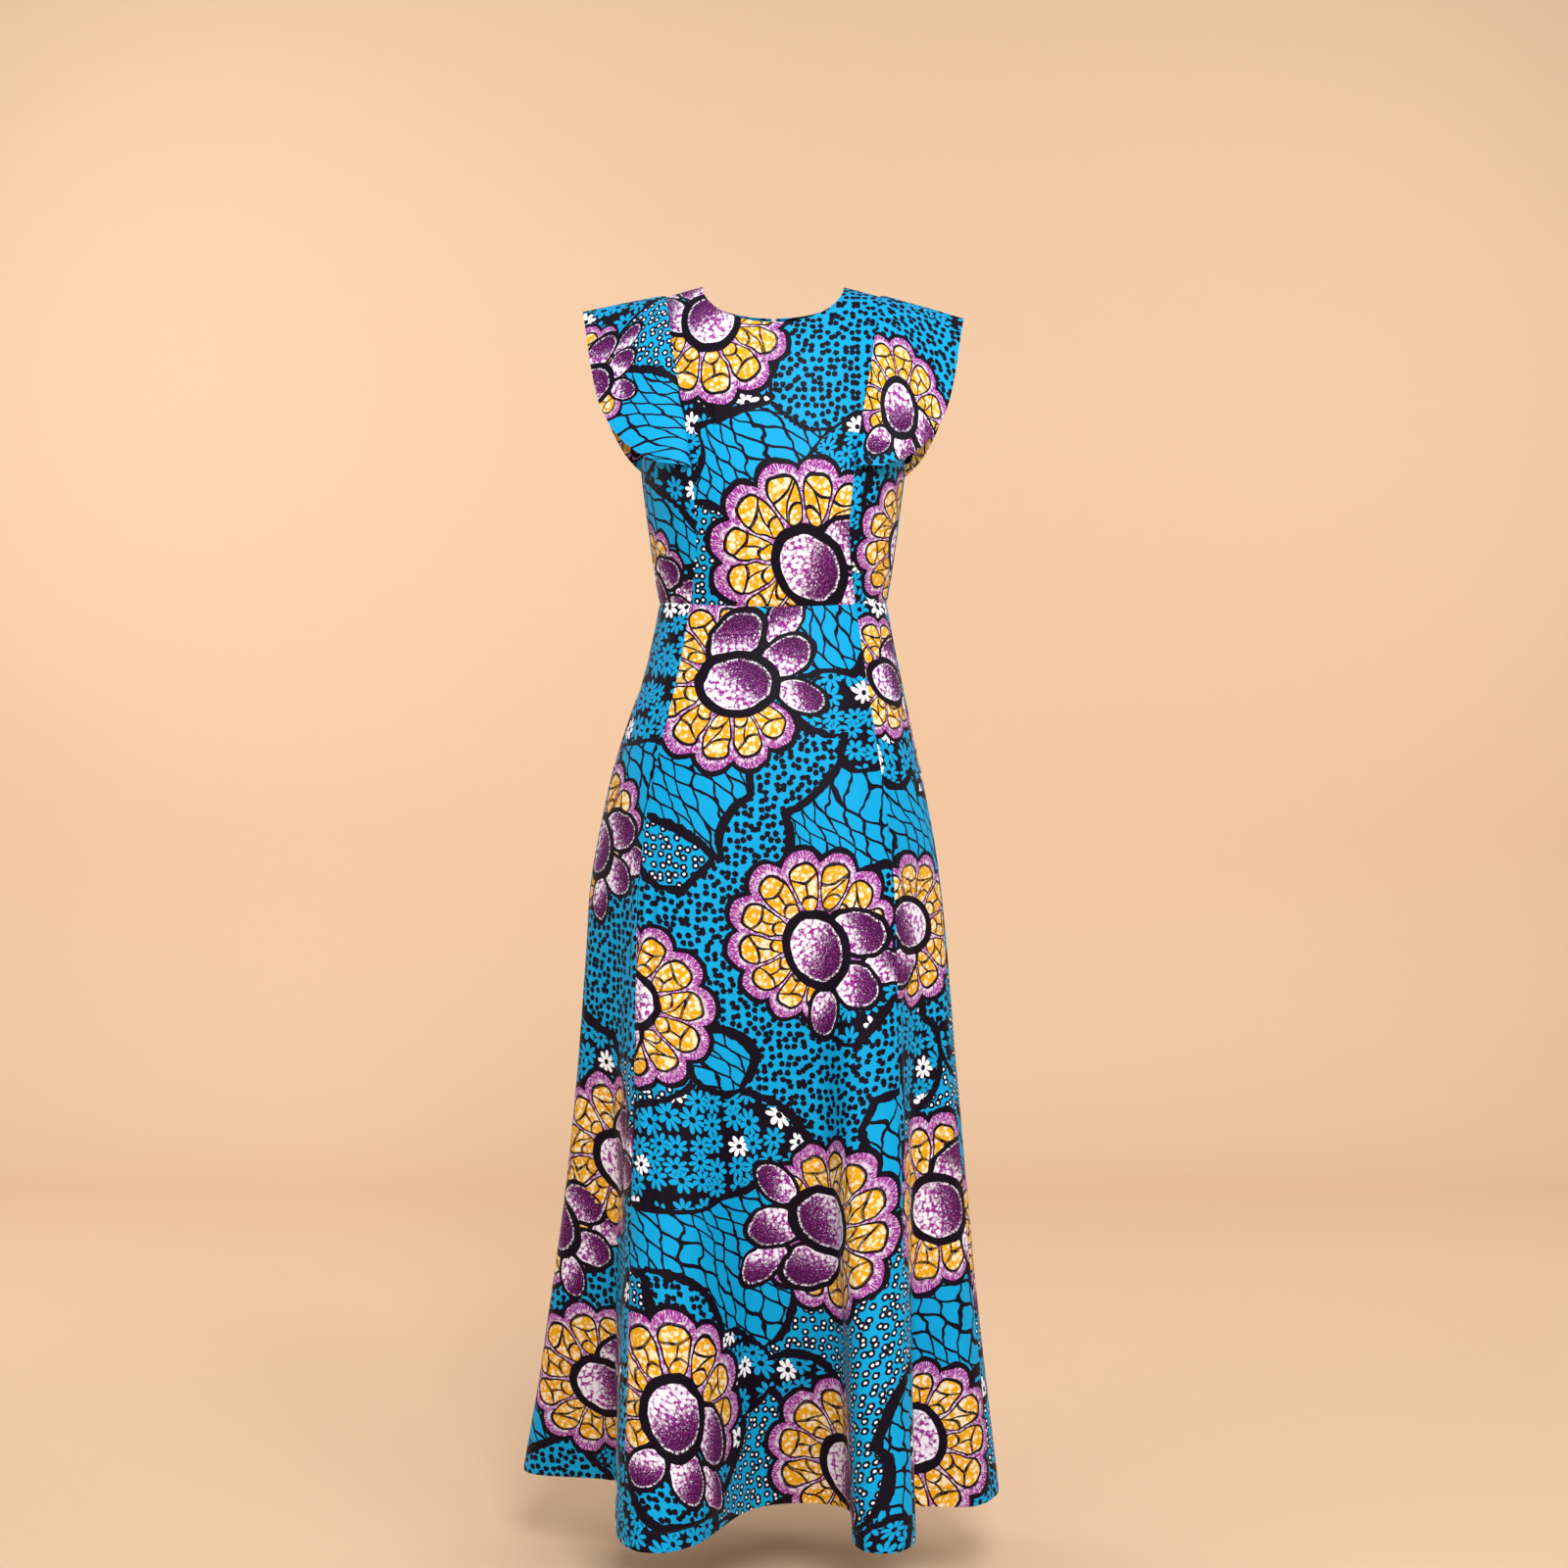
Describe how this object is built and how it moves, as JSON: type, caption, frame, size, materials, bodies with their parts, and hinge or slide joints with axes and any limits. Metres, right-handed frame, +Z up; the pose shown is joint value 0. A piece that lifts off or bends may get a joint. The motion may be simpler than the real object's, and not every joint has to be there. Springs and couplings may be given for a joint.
{
  "type": "ankara wax print dress",
  "caption": "Long sleeveless-cut dress in bold wax print cotton: round neck, flat wing sleeves set into the princess seams, waist seam, flared panel skirt, centre back zip",
  "frame": {"origin": "midway between the two neck points of the shoulder line, where the wearer's shoulders carry the dress", "axes": "+Z up, -Y the wearer's front, +X the viewer's right when the front is seen"},
  "size_m": [0.5595, 0.4405, 1.3927],
  "materials": {
    "wax_print_cotton": "smooth plain-weave cotton, bright cyan ground with dark brown lines, purple and yellow flowers",
    "zip_tape": "dark blue woven polyester tape",
    "zip_brass": "satin antique brass"
  },
  "bodies": {
    "dress": {"bodice_front_centre": "wax_print_cotton", "bodice_front_side_left": "wax_print_cotton", "bodice_front_side_right": "wax_print_cotton", "bodice_back_centre_left": "wax_print_cotton", "bodice_back_centre_right": "wax_print_cotton", "bodice_back_side_left": "wax_print_cotton", "bodice_back_side_right": "wax_print_cotton", "wing_front_left": "wax_print_cotton", "wing_front_right": "wax_print_cotton", "wing_back_left": "wax_print_cotton", "wing_back_right": "wax_print_cotton", "skirt_front_centre": "wax_print_cotton", "skirt_front_side_left": "wax_print_cotton", "skirt_front_side_right": "wax_print_cotton", "skirt_back_side_left": "wax_print_cotton", "skirt_back_side_right": "wax_print_cotton", "skirt_back_centre_left": "wax_print_cotton", "skirt_back_centre_right": "wax_print_cotton", "zip_chain": "zip_tape", "zip_slider": "zip_brass"},
    "pull_tab": {"zip_pull": "zip_brass"}
  },
  "joints": [
    {"name": "pull_tab_hinge", "type": "hinge", "parent": "dress", "child": "pull_tab", "pos_m": [0, 0.09193, -0.05566], "axis": [1, 0, 0], "range_deg": [0, 170]}
  ]
}
